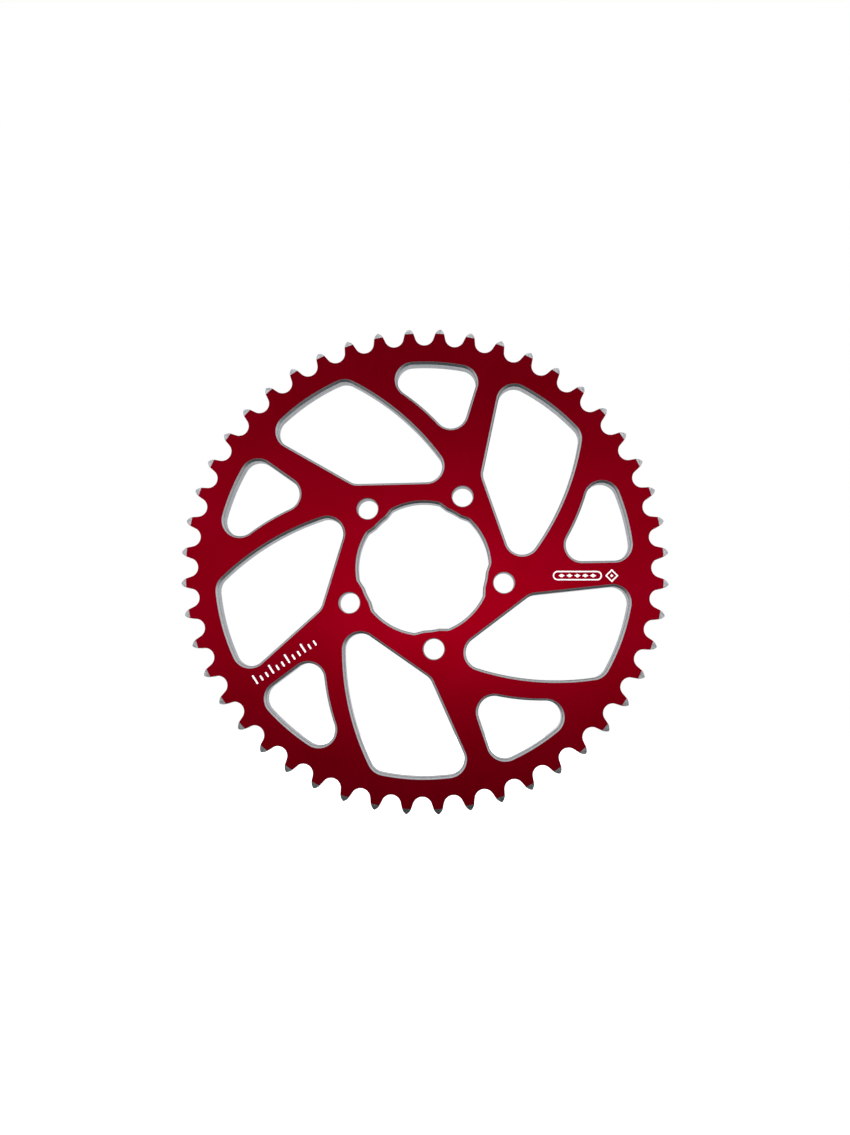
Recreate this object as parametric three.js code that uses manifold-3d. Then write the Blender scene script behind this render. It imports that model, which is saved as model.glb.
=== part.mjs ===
// Rear sprocket of a small motorcycle, cut from one aluminium plate. Millimetres, +Z up.
//
// The sprocket turns about the Y axis, with its centre at the origin. The outer face, which is seen
// when the wheel is on the motorcycle, points to -Y, and the face that seats on the hub points to +Y.
// Every outline is drawn flat, as seen from the outer face with x to the right and y up, centred on
// the thickness, and the finished plate is then turned upright.

import * as THREE from 'three';
import { mergeVertices } from 'three/addons/utils/BufferGeometryUtils.js';
import Module from 'manifold-3d';

const wasm = await Module();
wasm.setup();

const { degToRad, euclideanModulo, lerp } = THREE.MathUtils;
const FULL_TURN = 2 * Math.PI;

// The plate. The bore and the windows have a wide chamfer on the outer face, and only a broken edge
// on the hub face.
const PLATE_THICKNESS = 5.8;
const EDGE_CHAMFER = 0.9;
const HUB_EDGE_BREAK = 0.2;
const HOLE_CHAMFER = 0.25;

// The toothed edge, for a 420 roller chain: half an inch of pitch and a 7.77 mm roller
const TOOTH_COUNT = 48;
const CHAIN_PITCH = 12.7;
const SEAT_RADIUS = 3.95;
const FLANK_SLOPE = degToRad(15.6);
const FLANK_TOP_RADIUS = 98;
const TOPPING_RADIUS = 5;
const OUTSIDE_RADIUS = 100.6;
const TIP_CHAMFER_START_RADIUS = 98.2;
const TIP_CHAMFER_DEPTH = 1.5;

// The seat on the hub: a bored centre, and five bolts that each have a land of the bore beside them
const BOLT_COUNT = 5;
const BOLT_CIRCLE_RADIUS = 33.65;
const BOLT_HOLE_RADIUS = 4.25;
const FIRST_BOLT_ANGLE = degToRad(61.5);
const BORE_RADIUS = 27.05;
const BORE_LAND_RADIUS = 25.8;
const LAND_HALF_ANGLE = degToRad(6.9);
const RAMP_END_ANGLE = degToRad(14.7);

// The windows between the spokes, a large and a small one for each bolt. A corner is the centre of
// its round, as a distance from the axis and degrees from the bolt, counter-clockwise. sideRadius is
// that of the side which leaves the corner: 0 is straight, a side above 0 bulges out of the window
// and one below 0 bulges into it.
const WINDOW_CORNER_RADIUS = 6.65;
const RIM_INNER_RADIUS = 85.35;
const RIM_CORNER_DISTANCE = RIM_INNER_RADIUS - WINDOW_CORNER_RADIUS;
const LARGE_WINDOW = [
  { distance: RIM_CORNER_DISTANCE, degrees: 0.1, sideRadius: 0 },
  { distance: 49.8, degrees: -10.2, sideRadius: 0 },
  { distance: 42.3, degrees: -44.8, sideRadius: 106 },
  { distance: RIM_CORNER_DISTANCE, degrees: -18.6, sideRadius: RIM_INNER_RADIUS },
];
const SMALL_WINDOW = [
  { distance: RIM_CORNER_DISTANCE, degrees: -40.1, sideRadius: -91 },
  { distance: 65.8, degrees: -53.2, sideRadius: 0 },
  { distance: RIM_CORNER_DISTANCE, degrees: -54.4, sideRadius: RIM_INNER_RADIUS },
];

// How far a chord may stray from its arc, and how far a cutter reaches past the plate's faces
const CHORD_ERROR = 0.07;
const CUTTER_OVERSHOOT = 0.5;

const TOOTH_ANGLE = FULL_TURN / TOOTH_COUNT;
const BOLT_ANGLE = FULL_TURN / BOLT_COUNT;
const PITCH_RADIUS = CHAIN_PITCH / (2 * Math.sin(TOOTH_ANGLE / 2));

function polar(distance, angle) {
  return new THREE.Vector2(distance * Math.cos(angle), distance * Math.sin(angle));
}

function arcPoints(centre, radius, fromAngle, toAngle) {
  const widestStep = 2 * Math.acos(1 - CHORD_ERROR / Math.abs(radius));
  const steps = Math.ceil(Math.abs(toAngle - fromAngle) / widestStep);
  const points = [];
  for (let i = 0; i <= steps; i += 1) {
    points.push(polar(radius, lerp(fromAngle, toAngle, i / steps)).add(centre));
  }
  return points;
}

// ---- Outlines ----

/** One side of a tooth that points along +x, from the top of its straight flank to its point. */
function toppingCurve() {
  const flankNormal = Math.PI / 2 - FLANK_SLOPE;
  const seatCentre = polar(PITCH_RADIUS, TOOTH_ANGLE / 2);
  const seatEnd = seatCentre.sub(polar(SEAT_RADIUS, flankNormal));
  const rise = FLANK_TOP_RADIUS - seatEnd.x;
  const flankTop = new THREE.Vector2(FLANK_TOP_RADIUS, seatEnd.y - rise * Math.tan(FLANK_SLOPE));
  const centre = flankTop.sub(polar(TOPPING_RADIUS, flankNormal));
  const pointAngle = Math.asin(-centre.y / TOPPING_RADIUS);
  return arcPoints(centre, TOPPING_RADIUS, flankNormal, pointAngle);
}

/** Roller seats centred on the pitch circle, and between them the teeth, left pointed. */
function toothedOutline() {
  const halfSeat = Math.PI / 2 - FLANK_SLOPE - TOOTH_ANGLE / 2;
  const farSide = toppingCurve().reverse();
  const nearSide = toppingCurve().map((point) => new THREE.Vector2(point.x, -point.y));
  const tooth = [...nearSide, ...farSide.slice(1)];
  const axis = new THREE.Vector2();
  const points = [];
  for (let i = 0; i < TOOTH_COUNT; i += 1) {
    const seatAngle = i * TOOTH_ANGLE;
    const seatBottom = seatAngle + Math.PI;
    const seatCentre = polar(PITCH_RADIUS, seatAngle);
    points.push(...arcPoints(seatCentre, SEAT_RADIUS, seatBottom + halfSeat, seatBottom - halfSeat));
    for (const point of tooth) {
      points.push(point.clone().rotateAround(axis, seatAngle + TOOTH_ANGLE / 2));
    }
  }
  return points;
}

/** A window's side between two corner centres: its direction outwards at each end, and its points. */
function windowSide(start, end, sideRadius) {
  const chord = end.clone().sub(start);
  const outward = chord.angle() - Math.PI / 2;
  if (sideRadius === 0) {
    return { leaving: outward, arriving: outward, points: [] };
  }
  const bulge = Math.sign(sideRadius);
  const reach = Math.abs(sideRadius - WINDOW_CORNER_RADIUS);
  const halfSweep = bulge * Math.asin(chord.length() / (2 * reach));
  const centre = start.clone().lerp(end, 0.5);
  centre.sub(polar(bulge * reach * Math.cos(halfSweep), outward));
  const leaving = outward - halfSweep;
  const arriving = outward + halfSweep;
  const points = arcPoints(centre, sideRadius, leaving, arriving).slice(1, -1);
  return { leaving, arriving, points };
}

function windowOutline(corners, boltAngle) {
  const centres = corners.map(({ distance, degrees }) => polar(distance, boltAngle + degToRad(degrees)));
  const sides = corners.map(({ sideRadius }, i) => {
    const nextCentre = centres.at(i + 1 - corners.length);
    return windowSide(centres[i], nextCentre, sideRadius);
  });
  return centres.flatMap((centre, i) => {
    const start = sides.at(i - 1).arriving;
    const end = start + euclideanModulo(sides[i].leaving - start, FULL_TURN);
    return [...arcPoints(centre, WINDOW_CORNER_RADIUS, start, end), ...sides[i].points];
  });
}

/** The bore: an arc between each two bolts, and a land nearer the axis beside each bolt. */
function boreOutline() {
  const axis = new THREE.Vector2();
  const points = [];
  for (const boltAngle of boltAngles()) {
    const landStart = boltAngle - LAND_HALF_ANGLE;
    const landEnd = boltAngle + LAND_HALF_ANGLE;
    const arcStart = boltAngle + RAMP_END_ANGLE;
    const arcEnd = boltAngle + BOLT_ANGLE - RAMP_END_ANGLE;
    points.push(...arcPoints(axis, BORE_LAND_RADIUS, landStart, landEnd));
    points.push(...arcPoints(axis, BORE_RADIUS, arcStart, arcEnd));
  }
  return points;
}

function boltHoleOutline(boltAngle) {
  return arcPoints(polar(BOLT_CIRCLE_RADIUS, boltAngle), BOLT_HOLE_RADIUS, 0, FULL_TURN).slice(1);
}

function boltAngles() {
  return Array.from({ length: BOLT_COUNT }, (_, i) => FIRST_BOLT_ANGLE + i * BOLT_ANGLE);
}

// ---- Solids ----

function solidFromGeometry(geometry) {
  geometry.deleteAttribute('normal');
  geometry.deleteAttribute('uv');
  const merged = mergeVertices(geometry);
  const mesh = new wasm.Mesh({
    numProp: 3,
    vertProperties: merged.attributes.position.array,
    triVerts: Uint32Array.from(merged.index.array),
  });
  return new wasm.Manifold(mesh);
}

function geometryFromSolid(solid) {
  const mesh = solid.getMesh();
  const geometry = new THREE.BufferGeometry();
  geometry.setAttribute('position', new THREE.BufferAttribute(mesh.vertProperties, 3));
  geometry.setIndex(new THREE.BufferAttribute(mesh.triVerts, 1));
  geometry.computeVertexNormals();
  return geometry;
}

/** The plate's outline at full thickness, with its teeth still pointed and square-edged. */
function toothedPlate() {
  const shape = new THREE.Shape(toothedOutline());
  const geometry = new THREE.ExtrudeGeometry(shape, { depth: PLATE_THICKNESS, bevelEnabled: false });
  geometry.translate(0, 0, -PLATE_THICKNESS / 2);
  return solidFromGeometry(geometry);
}

/** The turned blank: its flats, one over each tooth, truncate the points and thin them on both faces. */
function turnedBlank() {
  const flatCount = 2 * TOOTH_COUNT;
  const cornerScale = 1 / Math.cos(Math.PI / flatCount);
  const slope = (OUTSIDE_RADIUS - TIP_CHAMFER_START_RADIUS) / TIP_CHAMFER_DEPTH;
  const faceHeight = PLATE_THICKNESS / 2 + CUTTER_OVERSHOOT;
  const faceRadius = (TIP_CHAMFER_START_RADIUS - CUTTER_OVERSHOOT * slope) * cornerScale;
  const tipHeight = PLATE_THICKNESS / 2 - TIP_CHAMFER_DEPTH;
  const tipRadius = OUTSIDE_RADIUS * cornerScale;
  const profile = [
    new THREE.Vector2(0, -faceHeight),
    new THREE.Vector2(faceRadius, -faceHeight),
    new THREE.Vector2(tipRadius, -tipHeight),
    new THREE.Vector2(tipRadius, tipHeight),
    new THREE.Vector2(faceRadius, faceHeight),
    new THREE.Vector2(0, faceHeight),
  ];
  const geometry = new THREE.LatheGeometry(profile, flatCount, Math.PI / flatCount);
  geometry.rotateX(Math.PI / 2);
  return solidFromGeometry(geometry);
}

/** A cutter that goes through the plate along an outline and leaves a 45 degree chamfer at each face. */
function chamferingCutter(outline, outerChamfer, hubChamfer) {
  const flare = Math.max(outerChamfer, hubChamfer) + CUTTER_OVERSHOOT;
  const depth = PLATE_THICKNESS - outerChamfer - hubChamfer;
  const geometry = new THREE.ExtrudeGeometry(new THREE.Shape(outline), {
    depth,
    bevelThickness: flare,
    bevelSize: -flare,
    bevelOffset: flare,
    bevelSegments: 1,
  });
  geometry.translate(0, 0, hubChamfer - PLATE_THICKNESS / 2);
  return solidFromGeometry(geometry);
}

function sprocketPlate() {
  const cutters = [chamferingCutter(boreOutline(), EDGE_CHAMFER, HUB_EDGE_BREAK)];
  for (const boltAngle of boltAngles()) {
    const boltHole = boltHoleOutline(boltAngle);
    const largeWindow = windowOutline(LARGE_WINDOW, boltAngle);
    const smallWindow = windowOutline(SMALL_WINDOW, boltAngle);
    cutters.push(chamferingCutter(boltHole, HOLE_CHAMFER, HOLE_CHAMFER));
    cutters.push(chamferingCutter(largeWindow, EDGE_CHAMFER, HUB_EDGE_BREAK));
    cutters.push(chamferingCutter(smallWindow, EDGE_CHAMFER, HUB_EDGE_BREAK));
  }
  const blank = toothedPlate().intersect(turnedBlank());
  const plate = cutters.reduce((solid, cutter) => solid.subtract(cutter), blank);
  const redAnodised = new THREE.MeshStandardMaterial({ color: 0x98051f, roughness: 0.38, metalness: 0.85 });
  const mesh = new THREE.Mesh(geometryFromSolid(plate), redAnodised);
  mesh.name = 'sprocket_plate';
  return mesh;
}

const sprocket = new THREE.Group();
sprocket.add(sprocketPlate());
sprocket.rotation.x = Math.PI / 2;

export default sprocket;
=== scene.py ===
import math

import bmesh
import bpy
from mathutils import Euler, Matrix, Vector


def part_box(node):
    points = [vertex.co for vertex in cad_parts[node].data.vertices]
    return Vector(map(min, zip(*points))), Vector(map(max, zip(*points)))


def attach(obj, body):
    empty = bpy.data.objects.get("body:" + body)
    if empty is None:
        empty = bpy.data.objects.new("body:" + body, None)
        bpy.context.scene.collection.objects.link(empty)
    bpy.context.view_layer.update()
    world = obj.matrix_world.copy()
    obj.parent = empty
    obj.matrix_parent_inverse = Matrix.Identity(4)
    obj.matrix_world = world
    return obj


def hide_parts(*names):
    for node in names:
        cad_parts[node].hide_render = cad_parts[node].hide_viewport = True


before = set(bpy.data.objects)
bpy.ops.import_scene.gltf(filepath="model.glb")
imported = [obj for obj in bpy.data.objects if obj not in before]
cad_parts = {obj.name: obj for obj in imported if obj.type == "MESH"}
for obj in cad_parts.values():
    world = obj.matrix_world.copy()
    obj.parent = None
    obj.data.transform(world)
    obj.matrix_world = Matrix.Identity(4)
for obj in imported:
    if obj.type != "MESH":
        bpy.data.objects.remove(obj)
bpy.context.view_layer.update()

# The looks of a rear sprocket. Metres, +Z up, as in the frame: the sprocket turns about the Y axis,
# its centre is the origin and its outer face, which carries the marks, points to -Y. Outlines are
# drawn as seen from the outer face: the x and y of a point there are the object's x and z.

PLATE_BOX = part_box("sprocket_plate")

MM = 0.001
FULL_TURN = 2 * math.pi
OUTER_SIDE, HUB_SIDE = -1, 1

# The plate. Its faces lie just inside the CAD solid's, by as much as the marks stand out.
MARK_HEIGHT = 0.012 * MM
HALF_THICKNESS = PLATE_BOX[1].y - MARK_HEIGHT
EDGE_CHAMFER = 0.9 * MM
HUB_EDGE_BREAK = 0.2 * MM
HOLE_CHAMFER = 0.25 * MM

# Small flats where the surfaces meet: at the faces and the teeth, and between a chamfer and its wall
EDGE_BREAK = 0.06 * MM
WALL_EDGE_BREAK = 0.24 * MM

# The toothed edge, for a 420 roller chain, with its tips just inside the CAD solid's
TOOTH_COUNT = 48
CHAIN_PITCH = 12.7 * MM
SEAT_RADIUS = 3.95 * MM
FLANK_SLOPE = math.radians(15.6)
FLANK_TOP_RADIUS = 98 * MM
TOPPING_RADIUS = 5 * MM
OUTSIDE_RADIUS = 100.59 * MM
TIP_CHAMFER_START_RADIUS = 98.2 * MM
TIP_CHAMFER_DEPTH = 1.5 * MM

# The seat on the hub
BOLT_COUNT = 5
BOLT_CIRCLE_RADIUS = 33.65 * MM
BOLT_HOLE_RADIUS = 4.25 * MM
FIRST_BOLT_ANGLE = math.radians(61.5)
BORE_RADIUS = 27.05 * MM
BORE_LAND_RADIUS = 25.8 * MM
BORE_CORNER_RADIUS = 2 * MM
LAND_HALF_ANGLE = math.radians(6.9)
RAMP_END_ANGLE = math.radians(14.7)

# The windows. A corner is the centre of its round, as a distance from the axis and degrees from the
# bolt, counter-clockwise, with the radius of the side which leaves it: 0 is straight, a side above 0
# bulges out of the window and one below 0 bulges into it.
WINDOW_CORNER_RADIUS = 6.65 * MM
RIM_INNER_RADIUS = 85.35 * MM
RIM_CORNER_DISTANCE = RIM_INNER_RADIUS - WINDOW_CORNER_RADIUS
LARGE_WINDOW = [
    (RIM_CORNER_DISTANCE, 0.1, 0),
    (49.8 * MM, -10.2, 0),
    (42.3 * MM, -44.8, 106 * MM),
    (RIM_CORNER_DISTANCE, -18.6, RIM_INNER_RADIUS),
]
SMALL_WINDOW = [
    (RIM_CORNER_DISTANCE, -40.1, -91 * MM),
    (65.8 * MM, -53.2, 0),
    (RIM_CORNER_DISTANCE, -54.4, RIM_INNER_RADIUS),
]

# How far a chord may stray from its arc, and how many faces a turned tip has up and across the tooth
CHORD_ERROR = 0.004 * MM
TIP_ROWS = 8
TIP_COLUMNS = 6

# Points that agree to this many decimals of a metre are one vertex. An edge that turns further than
# the sharp angle is a sharp one.
SAME_PLACE_DECIMALS = 8
SHARP_ANGLE = math.radians(15)

TOOTH_ANGLE = FULL_TURN / TOOTH_COUNT
BOLT_ANGLE = FULL_TURN / BOLT_COUNT
PITCH_RADIUS = CHAIN_PITCH / (2 * math.sin(TOOTH_ANGLE / 2))
BOLT_ANGLES = [FIRST_BOLT_ANGLE + i * BOLT_ANGLE for i in range(BOLT_COUNT)]

# The plate's material slots
ANODISED, MACHINED, TURNED, DRILLED = range(4)


# ---- Outlines: lists of (point, direction from the opening into the material) ----

def polar(distance, angle):
    return Vector((distance * math.cos(angle), distance * math.sin(angle)))


def direction(vector):
    return math.atan2(vector.y, vector.x)


def rotated(vector, angle):
    return Matrix.Rotation(angle, 2) @ vector


def arc(centre, radius, start, end):
    """An arc. A radius below 0 puts the centre on the material's side."""
    widest_step = 2 * math.acos(1 - CHORD_ERROR / abs(radius))
    steps = max(1, math.ceil(abs(end - start) / widest_step))
    angles = [start + (end - start) * i / steps for i in range(steps + 1)]
    return [(centre + polar(radius, angle), polar(1, angle)) for angle in angles]


def window_side(start, end, side_radius):
    """A side between two corner centres: its outward direction at each end, and its points."""
    chord = end - start
    outward = direction(chord) - math.pi / 2
    if side_radius == 0:
        return outward, outward, []
    bulge = math.copysign(1, side_radius)
    reach = abs(side_radius - WINDOW_CORNER_RADIUS)
    half_sweep = bulge * math.asin(chord.length / (2 * reach))
    centre = (start + end) / 2 - polar(bulge * reach * math.cos(half_sweep), outward)
    leaving = outward - half_sweep
    arriving = outward + half_sweep
    return leaving, arriving, arc(centre, side_radius, leaving, arriving)[1:-1]


def window_outline(corners, bolt_angle):
    """A window: the round at each of its corners, and then the side which leaves it."""
    centres = [polar(distance, bolt_angle + math.radians(degrees)) for distance, degrees, _ in corners]
    side_radii = [side_radius for _, _, side_radius in corners]
    sides = [window_side(*side) for side in zip(centres, centres[1:] + centres[:1], side_radii)]
    outline = []
    for i, centre in enumerate(centres):
        leaving, _, side_points = sides[i]
        _, arriving, _ = sides[i - 1]
        turn = (leaving - arriving) % FULL_TURN
        outline += arc(centre, WINDOW_CORNER_RADIUS, arriving, arriving + turn)
        outline += side_points
    return outline


def rounded_corner(corner, before, after):
    """The round at a corner of the bore, between sides whose outward directions are given."""
    turn = (after - before + math.pi) % FULL_TURN - math.pi
    radius = math.copysign(BORE_CORNER_RADIUS, turn)
    centre = corner - polar(radius / math.cos(turn / 2), before + turn / 2)
    return arc(centre, radius, before, before + turn)


def bore_outline():
    """The bore: an arc between each two bolts, and a land nearer the axis beside each bolt."""
    origin = Vector((0, 0))
    land_end = polar(BORE_LAND_RADIUS, LAND_HALF_ANGLE)
    ramp_end = polar(BORE_RADIUS, RAMP_END_ANGLE)
    ramp_normal = direction(ramp_end - land_end) - math.pi / 2
    trim = BORE_CORNER_RADIUS * math.tan(abs(ramp_normal) / 2)
    land_trim = trim / BORE_LAND_RADIUS
    arc_trim = trim / BORE_RADIUS
    outline = []
    for bolt_angle in BOLT_ANGLES:
        land_start = bolt_angle - LAND_HALF_ANGLE
        land_stop = bolt_angle + LAND_HALF_ANGLE
        arc_start = bolt_angle + RAMP_END_ANGLE
        arc_stop = bolt_angle + BOLT_ANGLE - RAMP_END_ANGLE
        falling = bolt_angle - ramp_normal
        rising = bolt_angle + ramp_normal
        outline += rounded_corner(polar(BORE_LAND_RADIUS, land_start), falling, land_start)
        outline += arc(origin, BORE_LAND_RADIUS, land_start + land_trim, land_stop - land_trim)[1:-1]
        outline += rounded_corner(polar(BORE_LAND_RADIUS, land_stop), land_stop, rising)
        outline += rounded_corner(polar(BORE_RADIUS, arc_start), rising, arc_start)
        outline += arc(origin, BORE_RADIUS, arc_start + arc_trim, arc_stop - arc_trim)[1:-1]
        outline += rounded_corner(polar(BORE_RADIUS, arc_stop), arc_stop, falling + BOLT_ANGLE)
    return outline


def bolt_hole_outline(bolt_angle):
    return arc(polar(BOLT_CIRCLE_RADIUS, bolt_angle), BOLT_HOLE_RADIUS, 0, FULL_TURN)[1:]


# ---- Teeth ----

def face_depth(radius):
    """How far the plate's surface lies from its middle plane: the turned tips are thinner."""
    slope = TIP_CHAMFER_DEPTH / (OUTSIDE_RADIUS - TIP_CHAMFER_START_RADIUS)
    return HALF_THICKNESS - max(0, radius - TIP_CHAMFER_START_RADIUS) * slope


def tooth_side():
    """The far side of a tooth along +x: the top of its flank, then its arc to the outside radius."""
    flank_normal = math.pi / 2 - FLANK_SLOPE
    seat_end = polar(PITCH_RADIUS, TOOTH_ANGLE / 2) - polar(SEAT_RADIUS, flank_normal)
    rise = FLANK_TOP_RADIUS - seat_end.x
    flank_top = Vector((FLANK_TOP_RADIUS, seat_end.y - rise * math.tan(FLANK_SLOPE)))
    centre = flank_top - polar(TOPPING_RADIUS, flank_normal)
    side = [(flank_top, -polar(1, flank_normal))]
    for i in range(TIP_ROWS + 1):
        share = i / TIP_ROWS
        radius = TIP_CHAMFER_START_RADIUS + share * (OUTSIDE_RADIUS - TIP_CHAMFER_START_RADIUS)
        squares = radius ** 2 + centre.length ** 2 - TOPPING_RADIUS ** 2
        angle = direction(centre) + math.acos(squares / (2 * radius * centre.length))
        point = polar(radius, angle)
        side.append((point, (centre - point).normalized()))
    return side


def mirrored(outline):
    flip = Matrix(((1, 0), (0, -1)))
    return [(flip @ point, flip @ inward) for point, inward in outline]


def rotated_outline(outline, angle):
    return [(rotated(point, angle), rotated(inward, angle)) for point, inward in outline]


def across(start, end):
    """Points between two at the same distance from the axis, on their arc about it."""
    sweep = (direction(end) - direction(start) + math.pi) % FULL_TURN - math.pi
    return [rotated(start, sweep * i / TIP_COLUMNS) for i in range(1, TIP_COLUMNS)]


def over_tooth(seat, rising, falling):
    """A tooth's whole outline, with the seat before it: along the seat, up, over the tip and down."""
    return [*seat, *rising, *across(rising[-1], falling[0]), *falling]


# ---- The plate's mesh ----

def chamfer_section(chamfer):
    """A chamfer from the face to the wall, with both its edges broken, as (flare, depth).

    The lower edge's break takes at most a quarter of the chamfer on each side of it."""
    leg = EDGE_BREAK / math.sqrt(2)
    wall_leg = min(WALL_EDGE_BREAK, chamfer / 4)
    reach = chamfer - EDGE_BREAK
    return [(chamfer, 0), (reach - leg, leg), (wall_leg, reach - wall_leg), (0, reach + wall_leg)]


class PlateMesh:
    """Collects the faces of the plate, whose vertices are shared where they meet."""

    def __init__(self):
        self.bm = bmesh.new()
        self.known = {}

    def vertex(self, point, y):
        key = tuple(round(value, SAME_PLACE_DECIMALS) for value in (point.x, point.y, y))
        if key not in self.known:
            self.known[key] = self.bm.verts.new((point.x, y, point.y))
        return self.known[key]

    def quad(self, corners, material):
        face = self.bm.faces.new(corners)
        face.material_index = material
        face.smooth = True

    def band(self, front, back, material):
        """Quads between two closed loops of vertices."""
        for i in range(len(front)):
            self.quad((front[i - 1], front[i], back[i], back[i - 1]), material)

    def hole(self, outline, outer_chamfer, hub_chamfer, material):
        """A hole's wall and chamfers. Returns its loop on each face."""
        hub_section = reversed(chamfer_section(hub_chamfer))
        profile = [(flare, depth - HALF_THICKNESS) for flare, depth in chamfer_section(outer_chamfer)]
        profile += [(flare, HALF_THICKNESS - depth) for flare, depth in hub_section]
        loops = [[self.vertex(point + inward * flare, y) for point, inward in outline]
                 for flare, y in profile]
        for front, back in zip(loops, loops[1:]):
            self.band(front, back, material)
        return loops[0], loops[-1]

    def on_surface(self, points, side, depth=0):
        """Vertices on the surface of one side of the plate, or at a depth below it."""
        return [self.vertex(point, side * (face_depth(point.length) - depth)) for point in points]

    def tip(self, rising, falling, side):
        """The turned cone of one tooth on one side, from row to row up the tooth."""
        rows = []
        for start, end in zip(rising, reversed(falling)):
            rows.append(self.on_surface([start, *across(start, end), end], side))
        for lower, upper in zip(rows, rows[1:]):
            for i in range(TIP_COLUMNS):
                self.quad((lower[i], lower[i + 1], upper[i + 1], upper[i]), TURNED)

    def teeth(self):
        """The toothed edge, with its turned tips. Returns its loop on each flat face."""
        half_seat = math.pi / 2 - FLANK_SLOPE - TOOTH_ANGLE / 2
        flats, edges, walls = [{OUTER_SIDE: [], HUB_SIDE: []} for _ in range(3)]
        for i in range(TOOTH_COUNT):
            seat_angle = i * TOOTH_ANGLE
            tooth_angle = seat_angle + TOOTH_ANGLE / 2
            seat_centre = polar(PITCH_RADIUS, seat_angle)
            bottom = seat_angle + math.pi
            seat = arc(seat_centre, SEAT_RADIUS, bottom + half_seat, bottom - half_seat)
            rising = rotated_outline(mirrored(tooth_side()), tooth_angle)
            falling = rotated_outline(reversed(tooth_side()), tooth_angle)
            outlines = (seat, rising, falling)
            wall = over_tooth(*[[point for point, _ in outline] for outline in outlines])
            seat_edge, up, down = [[point + inward * EDGE_BREAK for point, inward in outline]
                                   for outline in outlines]
            edge = over_tooth(seat_edge, up, down)
            tip_start = [up[1], *across(up[1], down[-2]), down[-2]]
            for side in (OUTER_SIDE, HUB_SIDE):
                self.tip(up[1:], down[:-1], side)
                flats[side] += self.on_surface([*seat_edge, up[0], *tip_start, down[-1]], side)
                edges[side] += self.on_surface(edge, side)
                walls[side] += self.on_surface(wall, side, EDGE_BREAK)
        self.band(edges[OUTER_SIDE], walls[OUTER_SIDE], MACHINED)
        self.band(walls[OUTER_SIDE], walls[HUB_SIDE], MACHINED)
        self.band(walls[HUB_SIDE], edges[HUB_SIDE], MACHINED)
        return flats[OUTER_SIDE], flats[HUB_SIDE]

    def flat_face(self, loops):
        """A flat face: the toothed edge's loop is its outline, and the other loops are holes."""
        edges = []
        for loop in loops:
            for pair in zip(loop, loop[1:] + loop[:1]):
                edges.append(self.bm.edges.get(pair) or self.bm.edges.new(pair))
        filled = bmesh.ops.triangle_fill(self.bm, edges=edges, use_beauty=True)
        for face in filled["geom"]:
            if isinstance(face, bmesh.types.BMFace):
                face.material_index = ANODISED
                face.smooth = False

    def finish(self, name):
        bmesh.ops.recalc_face_normals(self.bm, faces=self.bm.faces)
        mesh = bpy.data.meshes.new(name)
        self.bm.to_mesh(mesh)
        self.bm.free()
        mesh.set_sharp_from_angle(angle=SHARP_ANGLE)
        return mesh


def plate_mesh():
    plate = PlateMesh()
    loops = [plate.teeth(), plate.hole(bore_outline(), EDGE_CHAMFER, HUB_EDGE_BREAK, MACHINED)]
    for bolt_angle in BOLT_ANGLES:
        loops.append(plate.hole(bolt_hole_outline(bolt_angle), HOLE_CHAMFER, HOLE_CHAMFER, DRILLED))
        for window in (LARGE_WINDOW, SMALL_WINDOW):
            outline = window_outline(window, bolt_angle)
            loops.append(plate.hole(outline, EDGE_CHAMFER, HUB_EDGE_BREAK, MACHINED))
    for side_loops in zip(*loops):
        plate.flat_face(side_loops)
    return plate.finish("plate")


def add_object(name, data):
    thing = bpy.data.objects.new(name, data)
    bpy.context.scene.collection.objects.link(thing)
    return thing


# ---- The laser marks: plain shapes, with no lettering ----

# The bar, with a row of lozenges in it and a larger open lozenge beside it. Places along the mark are
# from the middle of the bar.
BAR_MARK_CENTRE = Vector((63, -3.2)) * MM
BAR_MARK_STROKE = 0.55 * MM
BAR_LENGTH = 20 * MM
BAR_HEIGHT = 3.9 * MM
LOZENGE_WIDTH = 2.6 * MM
LOZENGE_HEIGHT = 1.5 * MM
LOZENGE_PLACES = [i * 3.2 * MM for i in range(-2, 3)]
OPEN_LOZENGE_PLACE = 14 * MM
OPEN_LOZENGE_SIZE = 5.4 * MM
OPEN_LOZENGE_CORE_SIZE = 1.3 * MM

# The row of ticks, of which every third is a long one
TICK_MARK_CENTRE = Vector((-56.8, -38.2)) * MM
TICK_MARK_ANGLE = math.radians(33.5)
TICK_STROKE = 0.75 * MM
TICK_COUNT = 12
TICK_PITCH = 2.6 * MM
LONG_TICK = 4.2 * MM
SHORT_TICK = 2.4 * MM


def mark_piece(name, shapes, centre, angle, material):
    """Thin solids of closed shapes, drawn about their own origin, on the outer face.

    A shape is a list of loops: its outline, and then any holes in it."""
    bm = bmesh.new()
    for loops in shapes:
        edges = []
        for loop in loops:
            places = [centre + rotated(point, angle) for point in loop]
            ring = [bm.verts.new((place.x, -HALF_THICKNESS, place.y)) for place in places]
            edges += [bm.edges.new(pair) for pair in zip(ring, ring[1:] + ring[:1])]
        filled = bmesh.ops.triangle_fill(bm, edges=edges, use_beauty=True)
        faces = [item for item in filled["geom"] if isinstance(item, bmesh.types.BMFace)]
        raised = bmesh.ops.extrude_face_region(bm, geom=faces, use_keep_orig=True)
        for vertex in raised["geom"]:
            if isinstance(vertex, bmesh.types.BMVert):
                vertex.co.y -= MARK_HEIGHT
    bmesh.ops.recalc_face_normals(bm, faces=bm.faces)
    mesh = bpy.data.meshes.new(name)
    bm.to_mesh(mesh)
    bm.free()
    mesh.materials.append(material)
    mark = add_object(name, mesh)
    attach(mark, "root")


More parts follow.
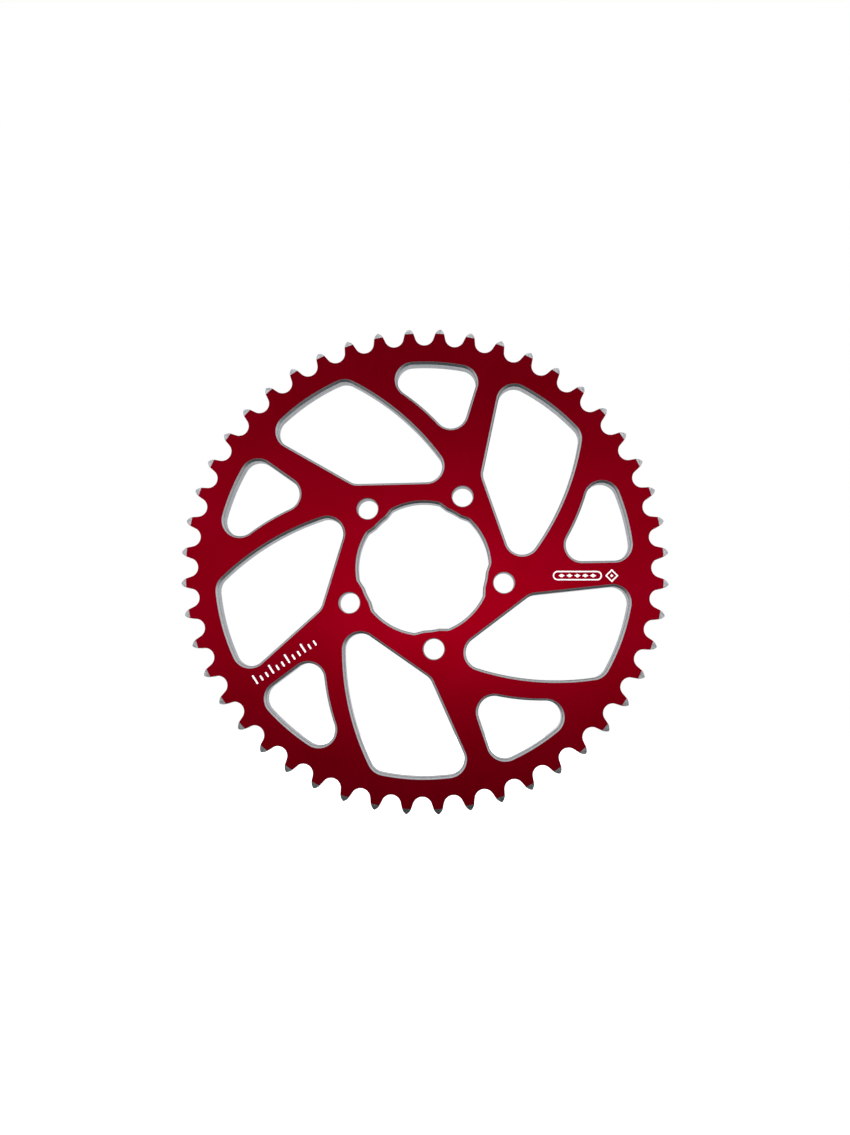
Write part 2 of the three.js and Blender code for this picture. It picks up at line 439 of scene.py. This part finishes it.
def capsule(length, height):
    """A bar with round ends, which lies along x."""
    radius = height / 2
    reach = length / 2 - radius
    right = arc(Vector((reach, 0)), radius, -math.pi / 2, math.pi / 2)
    left = arc(Vector((-reach, 0)), radius, math.pi / 2, 3 * math.pi / 2)
    return [point for point, _ in right + left]


def lozenge(place, width, height):
    """A lozenge with its middle at a place along x."""
    right = Vector((width / 2, 0))
    top = Vector((0, height / 2))
    return [Vector((place, 0)) + corner for corner in (right, top, -right, -top)]


def bar_mark():
    """An open bar which holds a row of lozenges, and a larger open lozenge to its right."""
    inset = 2 * BAR_MARK_STROKE
    shapes = [[capsule(BAR_LENGTH, BAR_HEIGHT), capsule(BAR_LENGTH - inset, BAR_HEIGHT - inset)]]
    for place in LOZENGE_PLACES:
        shapes.append([lozenge(place, LOZENGE_WIDTH, LOZENGE_HEIGHT)])
    hole_size = OPEN_LOZENGE_SIZE - inset * math.sqrt(2)
    outline, hole, core = [lozenge(OPEN_LOZENGE_PLACE, size, size)
                           for size in (OPEN_LOZENGE_SIZE, hole_size, OPEN_LOZENGE_CORE_SIZE)]
    return shapes + [[outline, hole], [core]]


def tick_mark():
    """A row of upright strokes which stand on one line, every third of them long, like a plain scale."""
    shapes = []
    for i in range(TICK_COUNT):
        height = LONG_TICK if i % 3 == 0 else SHORT_TICK
        middle = Vector(((i - (TICK_COUNT - 1) / 2) * TICK_PITCH, (height - LONG_TICK) / 2))
        shapes.append([[middle + rotated(point, math.pi / 2) for point in capsule(height, TICK_STROKE)]])
    return shapes


# ---- Materials: colours are linear red, green and blue, and noise scales are in cells per metre ----

# The darkest and the lightest colour of each surface
ANODISED_COLOURS = (0.385, 0, 0.009), (0.425, 0, 0.0135)
MACHINED_COLOURS = (0.52, 0.53, 0.55), (0.68, 0.69, 0.71)
TURNED_COLOURS = (0.42, 0.43, 0.46), (0.8, 0.81, 0.82)
# The drilled walls' grey is darker than the milled walls': painted shade inside the bolt holes.
DRILLED_AND_SHADED_COLOURS = (0.4, 0.4, 0.42), (0.56, 0.56, 0.58)
MARK_COLOURS = (0.88, 0.88, 0.9), (0.98, 0.98, 0.98)

# Most of a noise's values lie between these
NOISE_LOW, NOISE_HIGH = 0.3, 0.7


def add_node(tree, kind, settings=None, **inputs):
    """A shader node. An input's value is a constant or another node's output, and its name is the
    input's own, with _ for each space, or a _ and the input's number."""
    node = tree.nodes.new(kind)
    for name, value in (settings or {}).items():
        setattr(node, name, value)
    for name, value in inputs.items():
        key = int(name[1:]) if name[1:].isdigit() else name.replace("_", " ")
        socket = node.inputs[key]
        if isinstance(value, bpy.types.NodeSocket):
            tree.links.new(value, socket)
        else:
            socket.default_value = value
    return node


def add_material(name, metallic):
    material = bpy.data.materials.new(name)
    material.use_nodes = True
    shader = material.node_tree.nodes["Principled BSDF"]
    shader.inputs["Metallic"].default_value = metallic
    return material, material.node_tree, shader


def object_axes(tree):
    """The place on the object, and its x, y and z alone."""
    place = add_node(tree, "ShaderNodeTexCoord").outputs["Object"]
    return place, add_node(tree, "ShaderNodeSeparateXYZ", Vector=place).outputs


def calculated(tree, operation, *values):
    inputs = {f"_{i}": value for i, value in enumerate(values)}
    return add_node(tree, "ShaderNodeMath", {"operation": operation}, **inputs).outputs[0]


def noise(tree, place, scale, detail=2):
    node = add_node(tree, "ShaderNodeTexNoise", Vector=place, Scale=scale, Detail=detail)
    return node.outputs["Fac"]


def streaks(tree, place, scales, detail=2):
    """Noise with a scale of its own along each axis, so that it is drawn out along the smallest."""
    scaled = add_node(tree, "ShaderNodeVectorMath", {"operation": "MULTIPLY"}, _0=place, _1=scales)
    return noise(tree, scaled.outputs[0], 1, detail)


def spread(tree, value, low, high, value_low=NOISE_LOW, value_high=NOISE_HIGH):
    """The value, with value_low to value_high laid out from low to high."""
    node = add_node(tree, "ShaderNodeMapRange", Value=value, From_Min=value_low, From_Max=value_high,
                    To_Min=low, To_Max=high)
    return node.outputs["Result"]


def blend(tree, value, colours):
    """A colour between two, by a value from 0 to 1."""
    darkest, lightest = [(*colour, 1) for colour in colours]
    node = add_node(tree, "ShaderNodeMix", {"data_type": "RGBA"}, _0=value, _6=darkest, _7=lightest)
    return node.outputs[2]


def set_surface(tree, shader, colour, roughness, height, depth):
    """Gives a shader its colour, its roughness, and a relief whose height of 1 stands for a depth."""
    bump = add_node(tree, "ShaderNodeBump", Height=height, Distance=depth, Strength=1)
    tree.links.new(colour, shader.inputs["Base Color"])
    tree.links.new(roughness, shader.inputs["Roughness"])
    tree.links.new(bump.outputs["Normal"], shader.inputs["Normal"])


def anodised_material():
    """Dyed aluminium sheet: a satin face with an upright rolling grain under an even red."""
    material, tree, shader = add_material("red_anodised_aluminium", metallic=1)
    place, _ = object_axes(tree)
    cloud = noise(tree, place, scale=60)
    grain = streaks(tree, place, scales=(2600, 2600, 260), detail=3)
    speck = noise(tree, place, scale=5200)
    mottle = calculated(tree, "MULTIPLY_ADD", grain, 0.6, cloud)
    tone = spread(tree, mottle, 0, 1, value_low=0.55, value_high=1.05)
    colour = blend(tree, tone, ANODISED_COLOURS)
    roughness = spread(tree, grain, low=0.27, high=0.3)
    height = calculated(tree, "ADD", grain, speck)
    set_surface(tree, shader, colour, roughness, height, depth=0.0002 * MM)
    return material


def machined_material():
    """Bare milled aluminium: the cutter's lines run through the thickness of a wall."""
    material, tree, shader = add_material("milled_aluminium", metallic=1)
    place, _ = object_axes(tree)
    lines = streaks(tree, place, scales=(1900, 130, 1900), detail=3)
    passes = streaks(tree, place, scales=(90, 2400, 90))
    colour = blend(tree, spread(tree, lines, 0, 1), MACHINED_COLOURS)
    roughness = spread(tree, passes, low=0.26, high=0.4)
    height = calculated(tree, "MULTIPLY_ADD", passes, 0.4, lines)
    set_surface(tree, shader, colour, roughness, height, depth=0.004 * MM)
    return material


def turned_material():
    """Bare turned aluminium: grooves about the axis, torn where the cut is broken by each gap.

    The noises are laid out by distance from the axis, angle about it in radians, and depth."""
    material, tree, shader = add_material("turned_aluminium", metallic=1)
    _, (x, y, z) = object_axes(tree)
    flat = add_node(tree, "ShaderNodeCombineXYZ", X=x, Z=z).outputs[0]
    radius = add_node(tree, "ShaderNodeVectorMath", {"operation": "LENGTH"}, _0=flat).outputs["Value"]
    angle = calculated(tree, "ARCTAN2", z, x)
    polar_place = add_node(tree, "ShaderNodeCombineXYZ", X=radius, Y=angle, Z=y).outputs[0]
    grooves = streaks(tree, polar_place, scales=(3000, 45, 300))
    tears = streaks(tree, polar_place, scales=(1100, 110, 300), detail=3)
    tone = spread(tree, tears, 0, 1, value_low=0.35, value_high=0.65)
    colour = blend(tree, tone, TURNED_COLOURS)
    roughness = spread(tree, tears, low=0.3, high=0.42)
    height = calculated(tree, "MULTIPLY_ADD", tears, 1.5, grooves)
    set_surface(tree, shader, colour, roughness, height, depth=0.035 * MM)
    return material


def drilled_and_shaded_material():
    """The bolt holes' bare walls, with the drill's fine rings, in a grey darker than the milled walls'
    that is painted shade inside the holes.
    """
    material, tree, shader = add_material("drilled_aluminium_painted_shade", metallic=1)
    place, _ = object_axes(tree)
    rings = streaks(tree, place, scales=(60, 4200, 60), detail=3)
    colour = blend(tree, spread(tree, rings, 0, 1), DRILLED_AND_SHADED_COLOURS)
    roughness = spread(tree, rings, low=0.28, high=0.4)
    set_surface(tree, shader, colour, roughness, rings, depth=0.006 * MM)
    return material


def mark_material():
    """Laser-etched aluminium: matt and nearly white, with a fine speckle."""
    material, tree, shader = add_material("laser_etched_mark", metallic=0)
    place, _ = object_axes(tree)
    speck = noise(tree, place, scale=4200, detail=3)
    colour = blend(tree, spread(tree, speck, 0, 1), MARK_COLOURS)
    roughness = spread(tree, speck, low=0.6, high=0.8)
    set_surface(tree, shader, colour, roughness, speck, depth=0.003 * MM)
    return material


# ---- The object ----

def make_plate():
    mesh = plate_mesh()
    for make in (anodised_material, machined_material, turned_material, drilled_and_shaded_material):
        mesh.materials.append(make())
    plate = add_object("sprocket_body", mesh)
    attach(plate, "root")
    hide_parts("sprocket_plate")


def make_marks():
    material = mark_material()
    mark_piece("bar_mark", bar_mark(), BAR_MARK_CENTRE, 0, material)
    mark_piece("tick_mark", tick_mark(), TICK_MARK_CENTRE, TICK_MARK_ANGLE, material)


# ---- Camera, stage and light ----

# The lens stands this far in front of the outer face, and this far across and up from the axis. Its
# turns about X, Y and Z are in degrees, and its sensor and focal length in millimetres.
CAMERA_DISTANCE = 0.345
CAMERA_ACROSS, CAMERA_UP = 0.013, -0.038
CAMERA_TURN = (93.243, -0.189, 1.253)
CAMERA_SHIFT = (-0.01, 0.0397)
CLIP_START, CLIP_END = 0.01, 50
SENSOR_HEIGHT = 36
FOCAL_LENGTH = 26.79

# How brightly the studio lights the object from each heading, where the axes are 1 long. A ramp is
# where along its axis it starts and ends, and the level before and after it.
UPWARD_RAMP = (-1, 0.15, 0.07, 0.82)
LENS_SIDE_RAMP = (-1, -0.6, 0.2, 1)
BACKDROP_GAP_RAMP = (0.3, 0.5, 1, 0.12)
BACKDROP_RAMP = (0.78, 0.92, 0, 1)
BACKDROP_LEVEL = 0.76
STUDIO_COLOUR = (0.97, 0.99, 1, 1)

# The soft lights, which face the origin: name, place, size and power
SOFT_LIGHTS = [
    ("front_softbox", (0, -1.5, 0.16), (1.6, 0.5), 1.3),
    ("front_strip", (0, -1.4, 0.05), (0.5, 0.1), 0.3),
]
OVERHEAD_STRENGTH = 4
OVERHEAD_SPREAD = math.radians(60)

FLOOR_Z = -0.6
FLOOR_SIZE = 12
FLOOR_COLOUR = (0.9, 0.9, 0.9, 1)
FLOOR_ROUGHNESS = 0.9


def make_camera():
    data = bpy.data.cameras.new("camera")
    data.sensor_fit = "VERTICAL"
    data.sensor_height = SENSOR_HEIGHT
    data.lens = FOCAL_LENGTH
    data.shift_x, data.shift_y = CAMERA_SHIFT
    data.clip_start = CLIP_START
    data.clip_end = CLIP_END
    camera = add_object("camera", data)
    camera.location = (CAMERA_ACROSS, PLATE_BOX[0].y - CAMERA_DISTANCE, CAMERA_UP)
    camera.rotation_euler = Euler([math.radians(turn) for turn in CAMERA_TURN])
    bpy.context.scene.camera = camera


def smooth_ramp(tree, value, ramp):
    start, end, before, after = ramp
    return add_node(tree, "ShaderNodeMapRange", {"interpolation_type": "SMOOTHSTEP"}, Value=value,
                    From_Min=start, From_Max=end, To_Min=before, To_Max=after).outputs["Result"]


def studio_level(tree):
    """Dim from below and from round the lens, and dark at the edge of the even backdrop."""
    heading = add_node(tree, "ShaderNodeTexCoord").outputs["Generated"]
    _, y, z = add_node(tree, "ShaderNodeSeparateXYZ", Vector=heading).outputs
    level = smooth_ramp(tree, z, UPWARD_RAMP)
    for ramp in (LENS_SIDE_RAMP, BACKDROP_GAP_RAMP):
        level = calculated(tree, "MULTIPLY", level, smooth_ramp(tree, y, ramp))
    backdrop = smooth_ramp(tree, y, BACKDROP_RAMP)
    mixed = add_node(tree, "ShaderNodeMix", {"data_type": "FLOAT"},
                     _0=backdrop, _2=level, _3=BACKDROP_LEVEL)
    return mixed.outputs[0]


def make_world():
    """A white studio. The camera itself sees plain white behind the object."""
    world = bpy.data.worlds.new("studio")
    world.use_nodes = True
    tree = world.node_tree
    tree.nodes.clear()
    level = studio_level(tree)
    lit = add_node(tree, "ShaderNodeBackground", Color=STUDIO_COLOUR, Strength=level).outputs[0]
    white = add_node(tree, "ShaderNodeBackground", Color=(1, 1, 1, 1), Strength=1).outputs[0]
    seen = add_node(tree, "ShaderNodeLightPath").outputs["Is Camera Ray"]
    mixed = add_node(tree, "ShaderNodeMixShader", _0=seen, _1=lit, _2=white).outputs[0]
    add_node(tree, "ShaderNodeOutputWorld", Surface=mixed)
    bpy.context.scene.world = world
    bpy.context.scene.view_settings.view_transform = "Standard"


def soft_light(name, place, size, power):
    """A rectangular light which faces the origin, and which the camera doesn't see."""
    data = bpy.data.lights.new(name, "AREA")
    data.shape = "RECTANGLE"
    data.size, data.size_y = size
    data.energy = power
    light = add_object(name, data)
    light.location = place
    heading = Vector((0, 0, 0)) - Vector(place)
    light.rotation_euler = heading.to_track_quat("-Z", "Y").to_euler()
    light.visible_camera = False


def overhead_light():
    """Light from a wide part of the ceiling, which isn't seen in reflections."""
    data = bpy.data.lights.new("overhead", "SUN")
    data.energy = OVERHEAD_STRENGTH
    data.angle = OVERHEAD_SPREAD
    light = add_object("overhead", data)
    light.visible_glossy = False


def make_lights():
    for soft in SOFT_LIGHTS:
        soft_light(*soft)
    overhead_light()


def make_floor():
    """A pale floor far below the object, which isn't seen in reflections."""
    half = FLOOR_SIZE / 2
    corners = [(-half, -half), (half, -half), (half, half), (-half, half)]
    mesh = bpy.data.meshes.new("floor")
    mesh.from_pydata([(x, y, FLOOR_Z) for x, y in corners], [], [(0, 1, 2, 3)])
    floor = add_object("floor", mesh)
    floor.visible_glossy = False
    material, _, shader = add_material("pale_floor", metallic=0)
    shader.inputs["Base Color"].default_value = FLOOR_COLOUR
    shader.inputs["Roughness"].default_value = FLOOR_ROUGHNESS
    mesh.materials.append(material)


make_camera()
make_plate()
make_marks()
make_world()
make_lights()
make_floor()
